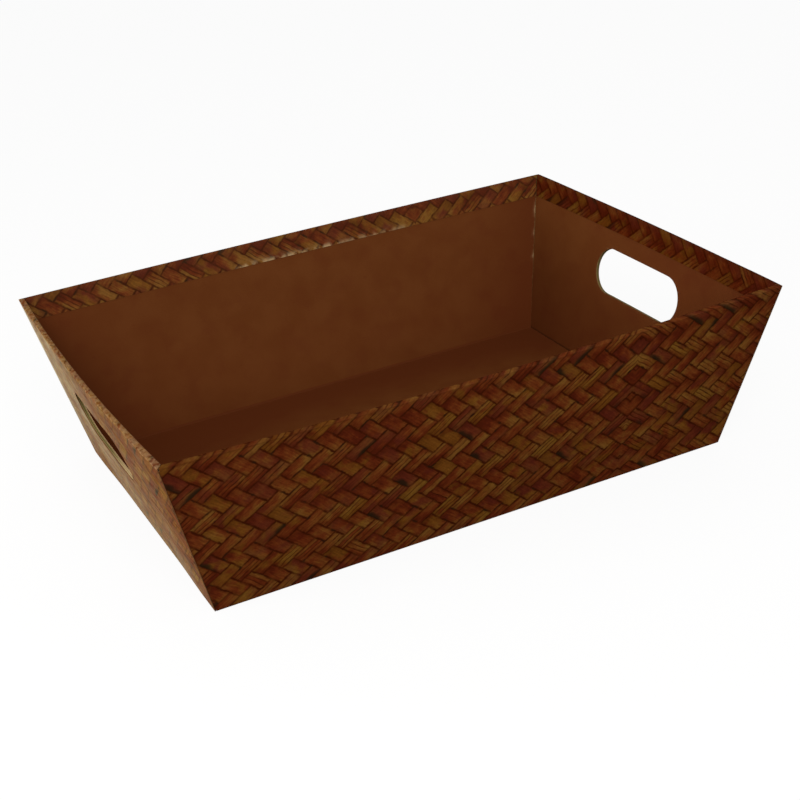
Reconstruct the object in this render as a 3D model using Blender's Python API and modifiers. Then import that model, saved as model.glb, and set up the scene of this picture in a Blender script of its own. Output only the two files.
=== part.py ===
"""Gift basket: an open tray of greyboard with sloping walls, a printed paper wrap and two hand holes.

Units are metres and +Z is up. The origin lies under the middle of the base, at the level it stands on.
X runs along the long walls and Y across the tray. The front wall is the one at -Y.

Places on a wall are given in the wall's own frame. "along" runs level along the wall, "up" climbs its
slope from the base's outer edge, and "depth" goes in from its outer face, square to the wall.
"""

import math

import bmesh
import bpy
import numpy as np
from mathutils import Matrix, Vector

MM = 0.001

# Outer sizes of the finished tray
RIM_LENGTH = 380 * MM
RIM_DEPTH = 266 * MM
BASE_LENGTH = 330 * MM
BASE_DEPTH = 216 * MM
HEIGHT = 106 * MM

# How far the middle of each rim stands out past the straight line between its corners
LONG_WALL_BOW = 5.0 * MM
END_WALL_BOW = 4.0 * MM

# Thicknesses of board and papers
BOARD = 1.6 * MM
WRAP_PAPER = 0.25 * MM
LINING_PAPER = 0.2 * MM
STAY_PAPER = 0.15 * MM
BASE_PAPER = 0.2 * MM
GLUE = 0.15 * MM  # the gap that the glue fills between two layers

# Folds and overlaps of the papers
TURN_IN = 14.5 * MM  # the wrap's strip inside the rim
TURN_UNDER = 15 * MM  # the wrap's strip under the base
CORNER_TAB = 14 * MM  # the long wrap's tab on the end board
STAY_WIDTH = 12 * MM  # the corner stay's width on each board
EDGE_TRIM = 2 * MM  # how far a tab or a stay stops short of the rim and of the base
STEP_RUN = 6 * MM  # the length over which an end wrap steps down from a tab onto its board
LINING_DROP = 3 * MM  # from the rim down to the lining's top edge
BASE_PAPER_MARGIN = 4 * MM
RIM_FOLD = 0.5 * MM
BASE_FOLD = 0.8 * MM
CORNER_FOLD = 0.5 * MM
STAY_FOLD = 0.3 * MM
FLOOR_CREASE = 2.5 * MM  # the radius of the soft bend where the long lining leaves the floor

# Hand holes, stadium shaped
HOLE_LENGTH = 90 * MM
HOLE_HEIGHT = 30.5 * MM
HOLE_BELOW_RIM = 41.5 * MM  # from the rim to the hole's middle, down the slope

# Fineness of the bowed sheets and of their folds
LONG_COLUMNS = 20
END_COLUMNS = 12
WALL_ROWS = 6
FOLD_STEPS = 3
CREASE_STEPS = 4
HOLE_ARC_STEPS = 12
CUTTER_DEPTH = 30 * MM
MERGE = 0.01 * MM
SHARP = math.radians(35)  # faces that meet at more than this keep a sharp edge

# Layers of the base, from the ground up
WRAP_LEVEL = BASE_PAPER + GLUE
BOARD_LEVEL = WRAP_LEVEL + WRAP_PAPER + GLUE
FLOOR_BACK = BOARD_LEVEL + BOARD + GLUE
FLOOR_LEVEL = FLOOR_BACK + LINING_PAPER

# The depth in an end wall of the long wrap's tab, which lies under the end wrap
TAB_DEPTH = WRAP_PAPER + GLUE


class Wall:
    """A sloping wall's shape, and the depths of its layers."""

    def __init__(self, base_half, rim_half, bow, stay_depth):
        self.base_half = base_half
        self.lean = math.atan2(rim_half - base_half, HEIGHT)
        self.slope = HEIGHT / math.cos(self.lean)
        self.bow = bow
        self.stay_depth = stay_depth
        self.board_depth = stay_depth + STAY_PAPER + GLUE
        self.board_back = self.board_depth + BOARD
        self.lining_back = self.board_back + GLUE
        self.lining_depth = self.lining_back + LINING_PAPER
        self.rim_depth = self.lining_depth + GLUE + WRAP_PAPER


LONG = Wall(BASE_DEPTH / 2, RIM_DEPTH / 2, LONG_WALL_BOW, WRAP_PAPER + GLUE)
END = Wall(BASE_LENGTH / 2, RIM_LENGTH / 2, END_WALL_BOW, TAB_DEPTH + WRAP_PAPER + GLUE)


def height_at(wall, up, depth):
    """Height above the ground, before the wall bows."""
    return up * math.cos(wall.lean) + depth * math.sin(wall.lean)


def up_at(wall, height, depth):
    """The way up the slope to a height, before the wall bows."""
    return (height - depth * math.sin(wall.lean)) / math.cos(wall.lean)


def reach(wall, height, depth):
    """How far a wall's plane at this depth stands from the tray's middle, at a height."""
    return wall.base_half + height * math.tan(wall.lean) - depth / math.cos(wall.lean)


def swell(wall, neighbour, along, up):
    """The bow: a parabola along the wall, times a quarter of a sine wave up its slope."""
    corner = reach(neighbour, up * math.cos(wall.lean), 0)
    rise = np.clip(up / wall.slope, 0, 1)
    return wall.bow * np.clip(1 - (along / corner) ** 2, 0, 1) * np.sin(rise * math.pi / 2)


def outward_and_height(wall, neighbour, along, up, depth):
    """Distance out from the tray's middle, and height, of points on a bowed wall."""
    inset = depth - swell(wall, neighbour, along, up)
    outward = wall.base_half + up * math.sin(wall.lean) - inset * math.cos(wall.lean)
    return outward, up * math.cos(wall.lean) + inset * math.sin(wall.lean)


def on_front(along, up, depth):
    outward, height = outward_and_height(LONG, END, along, up, depth)
    return np.stack([along, -outward, height], axis=-1)


def on_right_end(along, up, depth):
    outward, height = outward_and_height(END, LONG, along, up, depth)
    return np.stack([outward, along, height], axis=-1)


def around_corner(path, height):
    """Points of a sheet that turns the front right corner. The wall that a point lies nearer to bows it."""
    end_depth, long_depth = np.array(path).T
    on_end = end_depth - end_depth.min() < long_depth - long_depth.min()
    x = reach(END, height, end_depth)
    y = reach(LONG, height, long_depth)
    front = on_front(x, up_at(LONG, height, long_depth), long_depth)
    side = on_right_end(-y, up_at(END, height, end_depth), end_depth)
    return np.where(on_end[..., None], side, front)


def fillet(before, corner, after, radius, steps=FOLD_STEPS):
    """The arc that rounds a corner of a path, from one tangent point to the other."""
    before, corner, after = (Vector(point) for point in (before, corner, after))
    back = (before - corner).normalized()
    onward = (after - corner).normalized()
    half_angle = back.angle(onward) / 2
    centre = corner + (back + onward).normalized() * radius / math.sin(half_angle)
    start = corner + back * radius / math.tan(half_angle) - centre
    turn = math.pi - 2 * half_angle
    if back.x * onward.y - back.y * onward.x > 0:
        turn = -turn
    return [centre + Matrix.Rotation(turn * step / steps, 2) @ start for step in range(steps + 1)]


def between(start, end, steps):
    """The inner points of a straight run, without its ends."""
    return [Vector(start).lerp(Vector(end), step / steps) for step in range(1, steps)]


def material(name, colour, roughness):
    made = bpy.data.materials.new(name)
    made.use_nodes = True
    shader = made.node_tree.nodes["Principled BSDF"]
    shader.inputs["Base Color"].default_value = (*colour, 1)
    shader.inputs["Roughness"].default_value = roughness
    shader.inputs["Metallic"].default_value = 0
    return made


def add_object(name, mesh, finish):
    """A named piece in the basket's collection, under its empty."""
    piece = bpy.data.objects.new(name, mesh)
    if not mesh.materials:
        mesh.materials.append(finish)
    bpy.data.collections["gift_basket"].objects.link(piece)
    piece.parent = bpy.data.objects["basket"]
    return piece


def grid_mesh(name, points, kept=None, turned=False):
    """A grid laid over an array of points, with the faces that kept leaves out removed."""
    rows, columns = points.shape[0] - 1, points.shape[1] - 1
    shape = bmesh.new()
    bmesh.ops.create_grid(shape, x_segments=columns, y_segments=rows, size=1)
    spot = {v: (round((v.co.y + 1) / 2 * rows), round((v.co.x + 1) / 2 * columns)) for v in shape.verts}
    if kept is not None:
        cells = {face: tuple(np.min([spot[v] for v in face.verts], axis=0)) for face in shape.faces}
        cut = [face for face, cell in cells.items() if not kept[cell]]
        bmesh.ops.delete(shape, geom=cut, context="FACES")
    for vertex in shape.verts:
        vertex.co = points[spot[vertex]]
    if turned:
        bmesh.ops.reverse_faces(shape, faces=shape.faces)
    mesh = bpy.data.meshes.new(name)
    shape.to_mesh(mesh)
    shape.free()
    mesh.shade_smooth()
    mesh.set_sharp_from_angle(angle=SHARP)
    return mesh


def thicken(piece, thickness):
    """Gives a sheet its thickness, behind the face that shows."""
    solidify = piece.modifiers.new("thickness", "SOLIDIFY")
    solidify.thickness = thickness
    solidify.offset = -1
    solidify.use_even_offset = True
    return piece


def cut_hole(piece, cutter):
    boolean = piece.modifiers.new("hand hole", "BOOLEAN")
    boolean.operation = "DIFFERENCE"
    boolean.solver = "EXACT"
    boolean.object = cutter


def pair(names, points, thickness, finish, cutters=(), **options):
    """A piece and its twin on the opposite wall, which is the same sheet turned half round."""
    mesh = grid_mesh(names[0], points, **options)
    for turn, name in enumerate(names):
        piece = thicken(add_object(name, mesh, finish), thickness)
        piece.rotation_euler.z = turn * math.pi
        if cutters:
            cut_hole(piece, cutters[turn])


def hand_hole_cutters():
    """A stadium-ended plug through each end wall, square to the wall."""
    radius = HOLE_HEIGHT / 2
    straight = HOLE_LENGTH / 2 - radius
    curve = bpy.data.curves.new("hand_hole_outline", "CURVE")
    curve.dimensions = "2D"
    curve.fill_mode = "BOTH"
    curve.extrude = CUTTER_DEPTH / 2
    outline = curve.splines.new("POLY")
    angles = np.linspace(-math.pi / 2, math.pi / 2, HOLE_ARC_STEPS + 1)
    arc = np.stack([straight + radius * np.cos(angles), radius * np.sin(angles)], axis=1)
    outline.points.add(2 * len(arc) - 1)
    for point, (x, y) in zip(outline.points, np.concatenate([arc, -arc])):
        point.co = (x, y, 0, 1)
    outline.use_cyclic_u = True
    guide = bpy.data.objects.new("hand_hole_outline", curve)
    bpy.data.collections["cutters"].objects.link(guide)
    bpy.context.view_layer.update()
    evaluated = guide.evaluated_get(bpy.context.evaluated_depsgraph_get())
    mesh = bpy.data.meshes.new_from_object(evaluated)
    bpy.data.objects.remove(guide)
    shape = bmesh.new()
    shape.from_mesh(mesh)
    bmesh.ops.remove_doubles(shape, verts=shape.verts, dist=MERGE)
    bmesh.ops.recalc_face_normals(shape, faces=shape.faces)
    shape.to_mesh(mesh)
    shape.free()
    centre = Vector(on_right_end(0, END.slope - HOLE_BELOW_RIM, END.rim_depth / 2))
    upright = Matrix.Rotation(math.pi / 2 + END.lean, 4, "Y") @ Matrix.Rotation(math.pi / 2, 4, "Z")
    cutters = []
    for turn, side in enumerate(("right", "left")):
        cutter = bpy.data.objects.new(side + "_hand_hole_cutter", mesh)
        cutter.matrix_world = Matrix.Rotation(turn * math.pi, 4, "Z") @ Matrix.Translation(centre) @ upright
        cutter.hide_render = True
        cutter.display_type = "WIRE"
        bpy.data.collections["cutters"].objects.link(cutter)
        cutters.append(cutter)
    return cutters


def board_points(wall, place, side, columns):
    """A wall board's outer face, cut square at the rim. side gives its half length at a height."""
    low = up_at(wall, BOARD_LEVEL, wall.board_depth)
    ups = np.linspace(low, wall.slope - WRAP_PAPER - GLUE, WALL_ROWS + 1)[:, None]
    half = side(height_at(wall, ups, wall.board_depth))
    along = half * np.linspace(-1, 1, columns + 1)
    return place(along, ups + 0 * along, wall.board_depth + 0 * along)


def wall_boards(greyboard, cutters):
    """The long boards run past the end boards, which stand between them."""
    front = board_points(LONG, on_front, lambda z: reach(END, z, END.board_depth), LONG_COLUMNS)
    end = board_points(END, on_right_end, lambda z: reach(LONG, z, LONG.lining_back), END_COLUMNS)
    pair(("front_board", "back_board"), front, BOARD, greyboard)
    pair(("right_end_board", "left_end_board"), end, BOARD, greyboard, cutters)


def flat_slab(name, half_length, half_depth, level, thickness, finish):
    shape = bmesh.new()
    bmesh.ops.create_cube(shape, size=1)
    mesh = bpy.data.meshes.new(name)
    shape.to_mesh(mesh)
    shape.free()
    mesh.transform(Matrix.Diagonal((2 * half_length, 2 * half_depth, thickness, 1)))
    add_object(name, mesh, finish).location.z = level + thickness / 2


def base(greyboard, paper):
    """The base board inside the walls, and the paper that hides the turned-under edges."""
    half_length = reach(END, BOARD_LEVEL, END.lining_back)
    half_depth = reach(LONG, BOARD_LEVEL, LONG.lining_back)
    flat_slab("base_board", half_length, half_depth, BOARD_LEVEL, BOARD, greyboard)
    half_length = END.base_half - BASE_PAPER_MARGIN
    half_depth = LONG.base_half - BASE_PAPER_MARGIN
    flat_slab("base_sheet", half_length, half_depth, 0, BASE_PAPER, paper)


def corner_path(end_depth, long_depth, radius, run):
    """A sheet's way round a corner as depths in the end wall and the long wall, ending on the end wall."""
    corner = (end_depth, long_depth)
    first = (end_depth + run, long_depth)
    last = (end_depth, long_depth + run)
    return [first, *fillet(first, corner, last, radius), last]


def corner_stays(tape):
    """Paper tape round the outside of each corner, which holds the boards together."""
    path = corner_path(END.stay_depth, LONG.stay_depth, STAY_FOLD, STAY_WIDTH)
    heights = np.linspace(BOARD_LEVEL + EDGE_TRIM, HEIGHT - EDGE_TRIM, WALL_ROWS + 1)[:, None]
    points = around_corner(path, heights)
    pair(("corner_stay_front_right", "corner_stay_back_left"), points, STAY_PAPER, tape)
    mirrored = points * (-1, 1, 1)
    pair(("corner_stay_front_left", "corner_stay_back_right"), mirrored, STAY_PAPER, tape, turned=True)


def wrap_profile(wall, face_depth):
    """The wrap's outer side as (depth, up): under the base, up the wall, over the rim and down inside."""
    fold = (face_depth, up_at(wall, WRAP_LEVEL, face_depth))
    inward = Vector((math.cos(wall.lean), -math.sin(wall.lean)))
    under = Vector(fold) + inward * TURN_UNDER
    rim = (face_depth, wall.slope)
    inner_rim = (wall.rim_depth, wall.slope)
    end = (wall.rim_depth, wall.slope - TURN_IN)
    low = (face_depth, fold[1] + EDGE_TRIM)
    high = (face_depth, wall.slope - EDGE_TRIM)
    return np.array([
        under,
        *fillet(under, fold, rim, BASE_FOLD),
        low,
        *between(low, high, WALL_ROWS),
        high,
        *fillet(fold, rim, inner_rim, RIM_FOLD),
        *fillet(rim, inner_rim, end, RIM_FOLD),
        end,
    ])


def long_wraps(print_paper):
    """Each long wrap has a tab at both ends that turns the corner and lies on the end board."""
    depth, up = wrap_profile(LONG, 0).T[:, :, None]
    height = height_at(LONG, up, depth)
    half = reach(END, height, TAB_DEPTH + np.maximum(depth, CORNER_FOLD))
    along = half * np.linspace(-1, 1, LONG_COLUMNS + 1)
    sheet = on_front(along, up + 0 * along, depth + 0 * along)
    path = corner_path(TAB_DEPTH, 0, CORNER_FOLD, CORNER_TAB)
    tab = around_corner(path[2:], height)  # past the line where the sheet ends and the fold starts
    points = np.concatenate([tab[:, ::-1] * (-1, 1, 1), sheet, tab], axis=1)
    first_row = FOLD_STEPS + 2  # above the turn-under and its fold
    kept = np.zeros((points.shape[0] - 1, points.shape[1] - 1), bool)
    kept[first_row : first_row + WALL_ROWS] = True
    kept[:, tab.shape[1] : -tab.shape[1]] = True
    pair(("front_wrap", "back_wrap"), points, WRAP_PAPER, print_paper, kept=kept)


def end_wraps(print_paper, cutters):
    """Each end wrap covers the long wraps' tabs, and steps down past them onto its board."""
    board_face = END.board_depth - GLUE - WRAP_PAPER
    clear_of_tab = CORNER_TAB + TAB_DEPTH
    steps = np.linspace(0, 1, FOLD_STEPS + 1)
    inset = np.concatenate([[0], clear_of_tab + steps * STEP_RUN])
    sink = np.concatenate([[0], steps**2 * (3 - 2 * steps)])
    middle = np.linspace(-1, 1, END_COLUMNS + 1)[1:-1]
    share = np.concatenate([-np.ones(len(inset)), middle, np.ones(len(inset))])
    inset = np.concatenate([inset, np.full(len(middle), inset[-1]), inset[::-1]])
    sink = np.concatenate([sink, np.ones(len(middle)), sink[::-1]])
    profiles = np.stack([wrap_profile(END, board_face * part) for part in sink], axis=1)
    depth, up = profiles[..., 0], profiles[..., 1]
    along = share * (reach(LONG, height_at(END, up, depth), depth) - inset)
    points = on_right_end(along, up, depth)
    pair(("right_end_wrap", "left_end_wrap"), points, WRAP_PAPER, print_paper, cutters)


def linings(brown_paper, cutters):
    """One sheet lines the floor and the long walls. The end linings stand at its cut edges."""
    top = LONG.slope - LINING_DROP
    crease = (LONG.lining_depth, up_at(LONG, FLOOR_LEVEL, LONG.lining_depth))
    inward = Vector((math.cos(LONG.lean), -math.sin(LONG.lean)))
    middle = Vector(crease) + inward * reach(LONG, FLOOR_LEVEL, LONG.lining_depth)
    rim = (LONG.lining_depth, top)
    bend = fillet(middle, crease, rim, FLOOR_CREASE, CREASE_STEPS)
    profile = np.array([middle, *bend, *between(bend[-1], rim, WALL_ROWS), rim])
    depth, up = profile.T[:, :, None]
    half = reach(END, height_at(LONG, up, depth), END.lining_depth + GLUE)
    along = half * np.linspace(-1, 1, LONG_COLUMNS + 1)
    points = on_front(along, up + 0 * along, depth + 0 * along)
    points[0, :, 1] = 0
    mesh = grid_mesh("long_lining", points, turned=True)
    lining = add_object("long_lining", mesh, brown_paper)
    mirror = lining.modifiers.new("back half", "MIRROR")
    mirror.use_axis = (False, True, False)
    mirror.merge_threshold = MERGE
    thicken(lining, LINING_PAPER)

    low = up_at(END, FLOOR_BACK, END.lining_depth)
    ups = np.linspace(low, END.slope - LINING_DROP, WALL_ROWS + 1)[:, None]
    half = reach(LONG, height_at(END, ups, END.lining_depth), LONG.lining_back)
    along = half * np.linspace(-1, 1, END_COLUMNS + 1)
    points = on_right_end(along, ups + 0 * along, END.lining_depth + 0 * along)
    names = ("right_end_lining", "left_end_lining")
    pair(names, points, LINING_PAPER, brown_paper, cutters, turned=True)


def main():
    for old in list(bpy.data.objects):
        bpy.data.objects.remove(old, do_unlink=True)
    for name in ("gift_basket", "cutters"):
        bpy.context.scene.collection.children.link(bpy.data.collections.new(name))
    bpy.data.collections["cutters"].hide_render = True
    bpy.data.collections["gift_basket"].objects.link(bpy.data.objects.new("basket", None))
    greyboard = material("greyboard", (0.30, 0.26, 0.19), 0.9)
    print_paper = material("printed paper", (0.36, 0.13, 0.035), 0.35)
    brown_paper = material("brown lining paper", (0.11, 0.035, 0.009), 0.55)
    base_paper = material("base paper", (0.10, 0.04, 0.015), 0.85)
    tape = material("stay paper", (0.62, 0.52, 0.36), 0.8)
    cutters = hand_hole_cutters()
    base(greyboard, base_paper)
    wall_boards(greyboard, cutters)
    corner_stays(tape)
    long_wraps(print_paper)
    end_wraps(print_paper, cutters)
    linings(brown_paper, cutters)


main()
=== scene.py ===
"""Looks of a cardboard gift tray: printed paper wraps, brown linings, board edges in the hand holes, and a studio.

Lengths are metres. A place on a wall is given in the wall's own terms: "along" runs level along the wall, to the
right for someone outside, "up" climbs its slope from the base, and "depth" goes in from its outer face, square to
the wall. The papers are laid out flat first, as (along, way) points, and then folded round the boards.
"""

import math

import bpy
import numpy as np
from bpy.props import FloatProperty, FloatVectorProperty, PointerProperty
from mathutils import Matrix, Vector


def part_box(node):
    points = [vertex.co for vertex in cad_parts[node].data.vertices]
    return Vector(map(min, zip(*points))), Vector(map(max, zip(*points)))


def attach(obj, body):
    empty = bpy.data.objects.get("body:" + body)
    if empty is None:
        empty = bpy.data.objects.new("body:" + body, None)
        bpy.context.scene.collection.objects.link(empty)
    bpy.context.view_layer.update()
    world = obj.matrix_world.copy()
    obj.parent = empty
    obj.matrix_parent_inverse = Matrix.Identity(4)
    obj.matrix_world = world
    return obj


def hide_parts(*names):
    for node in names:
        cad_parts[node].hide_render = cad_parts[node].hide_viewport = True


bl_info = {
    "name": "Gift Tray Looks",
    "version": (1, 0, 0),
    "blender": (4, 5, 0),
    "location": "View3D > Sidebar > Gift Tray",
    "description": "Dresses a cardboard gift tray with printed papers, linings, board edges and a studio",
    "category": "Object",
}

MM = 0.001
DEGREE = math.pi / 180

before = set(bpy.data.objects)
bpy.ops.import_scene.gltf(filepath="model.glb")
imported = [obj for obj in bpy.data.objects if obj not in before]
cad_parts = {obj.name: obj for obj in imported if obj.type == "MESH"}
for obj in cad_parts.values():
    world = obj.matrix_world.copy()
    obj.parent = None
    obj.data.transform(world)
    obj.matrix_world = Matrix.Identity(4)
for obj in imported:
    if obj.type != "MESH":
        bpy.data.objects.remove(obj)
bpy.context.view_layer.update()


def tone(red, green, blue):
    """A colour as a paint chart gives it, from 0 to 255, turned into the linear values that shaders use."""
    chart = np.array([red, green, blue]) / 255
    return tuple(np.where(chart <= 0.04045, chart / 12.92, ((chart + 0.055) / 1.055) ** 2.4))


def setting(kind, **options):
    """A way to write settings of one kind, which leaves their name, description and default to give."""

    def written(name, description, default):
        return kind(name=name, description=description, default=default, **options)

    return written


length = setting(FloatProperty, min=0, unit="LENGTH", subtype="DISTANCE")
colour = setting(FloatVectorProperty, min=0, max=1, size=3, subtype="COLOR")
shift = setting(FloatVectorProperty, size=2, unit="LENGTH", subtype="TRANSLATION")
angle = setting(FloatProperty, unit="ROTATION", subtype="ANGLE")
share = setting(FloatProperty, min=0, max=1, subtype="FACTOR")
millimetres = setting(FloatProperty, min=1)


class TraySizes(bpy.types.PropertyGroup):
    """The tray's outer sizes and the thicknesses of its layers, as in the frame"""

    rim_length: length("Rim length", "Length over the rim at its corners", 380 * MM)
    rim_depth: length("Rim depth", "Depth over the rim at its corners", 266 * MM)
    base_length: length("Base length", "Length of the base", 330 * MM)
    base_depth: length("Base depth", "Depth of the base", 216 * MM)
    height: length("Height", "Height of the rim's outer edge above the ground", 106 * MM)
    long_bow: length("Long wall bow", "How far the middle of a long rim stands out", 5 * MM)
    end_bow: length("End wall bow", "How far the middle of an end rim stands out", 4 * MM)
    board: length("Board", "Thickness of the greyboard", 1.6 * MM)
    wrap: length("Wrap paper", "Thickness of the printed paper", 0.25 * MM)
    lining: length("Lining paper", "Thickness of the brown lining paper", 0.2 * MM)
    stay: length("Corner stay", "Thickness of the paper stay round a corner", 0.15 * MM)
    base_paper: length("Base paper", "Thickness of the sheet under the base", 0.2 * MM)
    glue: length("Glue", "Glue between two layers", 0.15 * MM)
    turn_in: length("Turn-in", "The wrap's strip inside the rim", 14.5 * MM)
    turn_under: length("Turn-under", "The wrap's strip under the base", 15 * MM)
    corner_tab: length("Corner tab", "The long wrap's tab on an end wall", 14 * MM)
    tab_trim: length("Tab trim", "How far a tab stops short of the rim and of the base", 2 * MM)
    step_run: length("Step run", "Length over which an end wrap steps down from a tab", 45 * MM)
    lining_drop: length("Lining drop", "From the rim down to the lining's top edge", 3 * MM)
    rim_fold: length("Rim fold", "Radius of the wrap's folds at the rim", 0.5 * MM)
    base_fold: length("Base fold", "Radius of the wrap's fold at the base", 0.8 * MM)
    corner_fold: length("Corner fold", "Radius of the long wrap's fold at a corner", 0.5 * MM)
    floor_crease: length("Floor crease", "Radius of the lining's soft bend at the floor", 1.2 * MM)
    hole_length: length("Hand hole length", "Length of a hand hole", 90 * MM)
    hole_height: length("Hand hole height", "Height of a hand hole along the slope", 30.5 * MM)
    hole_drop: length("Hand hole drop", "From the rim to a hand hole's middle, down the slope", 41.5 * MM)


class PrintLook(bpy.types.PropertyGroup):
    """The printed strip pattern on the wraps"""

    strip_along: length("Strip spacing along", "Level distance from one strip to the next", 11.9 * MM)
    strip_up: length("Strip spacing up", "Upward distance from one strip to the next", 10.42 * MM)
    lean: angle("Lean", "How far the print's columns lean over from upright", -4.23 * DEGREE)
    wander: length("Wander", "How far the strips wander from their straight lines", 0.9 * MM)
    front_shift: shift("Front shift", "Moves the front print along and up its paper", (2.72 * MM, 4.3 * MM))
    back_shift: shift("Back shift", "Moves the back print along and up its paper", (10.1 * MM, 11.96 * MM))
    end_shift: shift("End shift", "Moves the end prints along and up their papers", (1.71 * MM, 8.19 * MM))
    front_seam: length("Front seam", "Where the front print starts to repeat mirrored", 89.6 * MM)
    back_seam: length("Back seam", "Where the back print starts to repeat mirrored", 87.75 * MM)
    gold: colour("Gold", "The palest strips", tone(101, 65, 25))
    tan: colour("Tan", "Light strips", tone(94, 52, 19))
    amber: colour("Amber", "Middling strips", tone(89, 41, 15))
    russet: colour("Russet", "Reddish strips", tone(82, 32, 11))
    oxblood: colour("Oxblood", "The darkest strips", tone(70, 22, 8))
    # Also the colour of the painted shade at the folds and from the rim inwards
    shadow: colour("Shadow", "The print's lines between strips", tone(46, 11, 1))
    plum: colour("Plum", "Purplish patches", tone(72, 26, 17))
    olive: colour("Olive", "Yellowish patches", tone(97, 66, 16))
    scorch: colour("Scorch", "The print's burnt marks", tone(24, 17, 8))
    scorched: share("Scorched strips", "Share of the strips with a burnt mark", 0.08)
    split: share("Split strips", "Share of the rising strips that are split lengthwise", 0.5)
    gloss: share("Gloss", "How much the varnish mirrors at a grazing angle", 0.55)
    gloss_tint: colour("Gloss tint", "The colour of the varnish's reflection", (1, 0.99, 0.68))


class PaperLook(bpy.types.PropertyGroup):
    """The plain papers and the board"""

    lining: colour("Lining", "The brown lining", tone(88, 48, 21))
    lining_dark: colour("Lining, darker", "The lining's darker mottling", tone(84, 44, 18))
    # Also the painted shade low down, at the floor's bend and in the corners, and the ruddy mottling and dents
    lining_mottle_and_shade: colour("Lining, deepest", "The lining low down and in its corners", tone(79, 37, 16))
    # A painted shadow line, in the floor's bend and at the foot of each end lining
    painted_shadow_line: colour("Stain", "The dark line where a lining ends on another", tone(40, 20, 8))
    # Also the colour of the painted glint at the back wrap's torn edge
    core: colour("Paper core", "The papers' core, where they are worn through", tone(168, 142, 104))
    cut: colour("Cut edge", "The wraps' cut edges", tone(94, 66, 38))
    board_light: colour("Board, light plies", "Light plies in the greyboard's cut edge", tone(114, 99, 58))
    board_dark: colour("Board, dark plies", "Dark plies in the greyboard's cut edge", tone(42, 36, 12))
    base_paper: colour("Base paper", "The sheet under the base", tone(86, 52, 30))
    stay: colour("Stay paper", "The paper stays round the corners", tone(176, 144, 98))
    ply: length("Ply", "Thickness of one ply of the greyboard", 0.42 * MM)


class StudioLook(bpy.types.PropertyGroup):
    """The camera, the floor and the lights"""

    azimuth: angle("Azimuth", "The camera's way round the tray, from the front", -24.983 * DEGREE)
    elevation: angle("Elevation", "The camera's height above the horizon", 26.131 * DEGREE)
    roll: angle("Roll", "The camera's turn about its line of sight", -4.835 * DEGREE)
    distance: length("Distance", "From the camera to the point that it looks at", 1021.8 * MM)
    target_x: length("Target X", "The point that the camera looks at, along X", 32.1 * MM)
    target_y: length("Target Y", "The point that the camera looks at, along Y", 61.06 * MM)
    focal_length: millimetres("Focal length", "The camera's focal length, in millimetres", 68.571)
    floor_size: length("Floor size", "Side of the floor", 6.0)
    floor: colour("Floor", "The plain floor, as the camera and reflections see it", (0.8, 0.8, 0.8))
    floor_bounce: colour("Floor bounce", "The floor's colour in the soft light it throws back", (0.15, 0.15, 0.15))
    floor_glow: share("Floor glow", "How far the floor is plain white to the camera", 0.91)
    soft_light: share("Soft light", "Strength of the even light from all round", 0.6)


class Wall:
    """One sloping wall. Its outward direction is at its heading, turned from +X."""

    def __init__(self, heading, base_half, rim_half, height, bow):
        self.heading = heading
        self.base_half = base_half
        self.lean = math.atan2(rim_half - base_half, height)
        self.slope = height / math.cos(self.lean)
        self.bow = bow

    def height_at(self, up, depth):
        """height = up cos(lean) + depth sin(lean), before the wall bows."""
        return up * math.cos(self.lean) + depth * math.sin(self.lean)

    def up_at(self, height, depth):
        """The way up the slope to a height: the inverse of height_at."""
        return (height - depth * math.sin(self.lean)) / math.cos(self.lean)

    def reach(self, height, depth):
        """From the tray's middle to the wall's plane: base half + height tan(lean) - depth / cos(lean)."""
        return self.base_half + height * math.tan(self.lean) - depth / math.cos(self.lean)

    def place(self, along, up, depth):
        """Points of the wall in space.

        The bow is a parabola along the wall, 1 - (along / corner)^2, times a quarter of a sine wave up the slope,
        and it pushes the wall out square to its face. The wall is then turned to its heading.
        """
        corner = self.to_right.reach(up * math.cos(self.lean), 0)
        rise = np.sin(np.clip(up / self.slope, 0, 1) * math.pi / 2)
        inset = depth - self.bow * np.clip(1 - (along / corner) ** 2, 0, 1) * rise
        outward = self.base_half + up * math.sin(self.lean) - inset * math.cos(self.lean)
        height = up * math.cos(self.lean) + inset * math.sin(self.lean)
        cos, sin = math.cos(self.heading), math.sin(self.heading)
        return np.stack([outward * cos - along * sin, outward * sin + along * cos, height], axis=-1)


class Tray:
    """The four walls and the depths of their layers."""

    def __init__(self, sizes):
        self.sizes = sizes
        end_sizes = (sizes.base_length / 2, sizes.rim_length / 2, sizes.height, sizes.end_bow)
        long_sizes = (sizes.base_depth / 2, sizes.rim_depth / 2, sizes.height, sizes.long_bow)
        self.right, self.left = Wall(0, *end_sizes), Wall(math.pi, *end_sizes)
        self.front, self.back = Wall(-math.pi / 2, *long_sizes), Wall(math.pi / 2, *long_sizes)
        self.wrapped = sizes.wrap + sizes.glue
        for wall, to_right, to_left, layers in (
            (self.front, self.right, self.left, 1),
            (self.right, self.back, self.front, 2),
            (self.back, self.left, self.right, 1),
            (self.left, self.front, self.back, 2),
        ):
            wall.to_right, wall.to_left = to_right, to_left
            wall.board_depth = layers * self.wrapped + sizes.stay + sizes.glue
            wall.lining_back = wall.board_depth + sizes.board + sizes.glue
            wall.lining_depth = wall.lining_back + sizes.lining
            wall.rim_depth = wall.lining_depth + self.wrapped
        self.wrap_level = sizes.base_paper + sizes.glue
        self.board_level = self.wrap_level + self.wrapped
        self.floor_back = self.board_level + sizes.board + sizes.glue
        self.floor_level = self.floor_back + sizes.lining


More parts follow.
